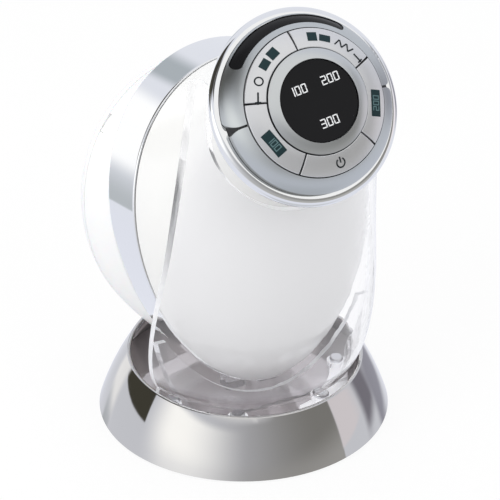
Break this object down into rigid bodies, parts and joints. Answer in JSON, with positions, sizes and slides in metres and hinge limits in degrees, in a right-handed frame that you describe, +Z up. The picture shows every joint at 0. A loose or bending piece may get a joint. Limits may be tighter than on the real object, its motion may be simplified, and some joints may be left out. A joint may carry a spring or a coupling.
{
  "type": "radio frequency body care device on a stand",
  "caption": "Handheld body care device with a round treatment head under a domed cover and a ring-shaped key panel, resting in a clear cradle on a round polished base.",
  "frame": {"origin": "centre of the rubber foot's underside, on the floor under the middle of the round base", "axes": "+Z up, -Y to the side that the key panel faces, +X to the right seen from the key panel's side"},
  "size_m": [0.109, 0.1319, 0.1731],
  "materials": {
    "polished_base": "mirror polished",
    "matte_base": "fine matte",
    "rubber": "soft matte",
    "ballast_steel": "raw",
    "screw_steel": "turned",
    "clear_acrylic": "clear polished",
    "clear_silicone": "translucent",
    "pearl_shell": "pearl gloss",
    "white_head": "gloss",
    "dark_seal": "matte",
    "chrome": "mirror polished",
    "head_plastic": "gloss",
    "polished_steel": "fine polished",
    "ceramic": "matte",
    "circuit_board": "solder mask",
    "black_plastic": "fine matte",
    "battery_wrap": "shrink wrap",
    "transformer_tape": "tape",
    "socket_plastic": "matte",
    "satin_plate": "satin",
    "strip_tint": "dark tint",
    "bezel_metal": "polished",
    "dark_window": "gloss black",
    "key_satin": "satin"
  },
  "bodies": {
    "stand": {"base_shell": "polished_base", "floor_plate": "matte_base", "rubber_foot": "rubber", "ballast": "ballast_steel", "deck": "matte_base", "base_screws": "screw_steel", "cradle": "clear_acrylic", "cradle_screws": "screw_steel", "saddle": "clear_acrylic", "rest_pads": "clear_silicone"},
    "handset": {"board_screws": "screw_steel", "panel_screws": "screw_steel", "body_shell": "pearl_shell", "head_housing": "white_head", "ring_gasket": "dark_seal", "cover_catches": "dark_seal", "ring_band": "chrome", "panel_cup": "chrome", "neck_collar": "chrome", "head_deck": "head_plastic", "sound_plate": "polished_steel", "electrodes": "polished_steel", "transducer": "ceramic", "head_board": "circuit_board", "main_board": "circuit_board", "display_board": "circuit_board", "mid_frame": "black_plastic", "panel_carrier": "black_plastic", "display_module": "black_plastic", "key_switches": "black_plastic", "battery": "battery_wrap", "rf_transformer": "transformer_tape", "power_socket": "socket_plastic", "upper_contact": "satin_plate", "lower_contact": "satin_plate", "indicator_strip": "strip_tint", "window_bezel": "bezel_metal", "display_window": "dark_window"},
    "cover": {"head_cover": "white_head"},
    "right_level": {"right_level_key": "key_satin"},
    "left_level": {"left_level_key": "key_satin"},
    "left_mode": {"left_mode_key": "key_satin"},
    "power": {"power_key": "key_satin"},
    "right_mode": {"right_mode_key": "key_satin"}
  },
  "joints": [
    {"name": "handset_lift", "type": "slide", "parent": "stand", "child": "handset", "axis": [0, 0, 1], "range_m": [0, 0.14]},
    {"name": "cover_pull", "type": "slide", "parent": "handset", "child": "cover", "axis": [0, 0.9659, 0.2588], "range_m": [0, 0.06]},
    {"name": "right_level_press", "type": "slide", "parent": "handset", "child": "right_level", "axis": [0, 0.8396, -0.5432], "range_m": [0, 0.0005], "stiffness_N_per_m": 800},
    {"name": "left_level_press", "type": "slide", "parent": "handset", "child": "left_level", "axis": [0, 0.8396, -0.5432], "range_m": [0, 0.0005], "stiffness_N_per_m": 800},
    {"name": "left_mode_press", "type": "slide", "parent": "handset", "child": "left_mode", "axis": [0, 0.8396, -0.5432], "range_m": [0, 0.0005], "stiffness_N_per_m": 800},
    {"name": "power_press", "type": "slide", "parent": "handset", "child": "power", "axis": [0, 0.8396, -0.5432], "range_m": [0, 0.0005], "stiffness_N_per_m": 800},
    {"name": "right_mode_press", "type": "slide", "parent": "handset", "child": "right_mode", "axis": [0, 0.8396, -0.5432], "range_m": [0, 0.0005], "stiffness_N_per_m": 800}
  ]
}
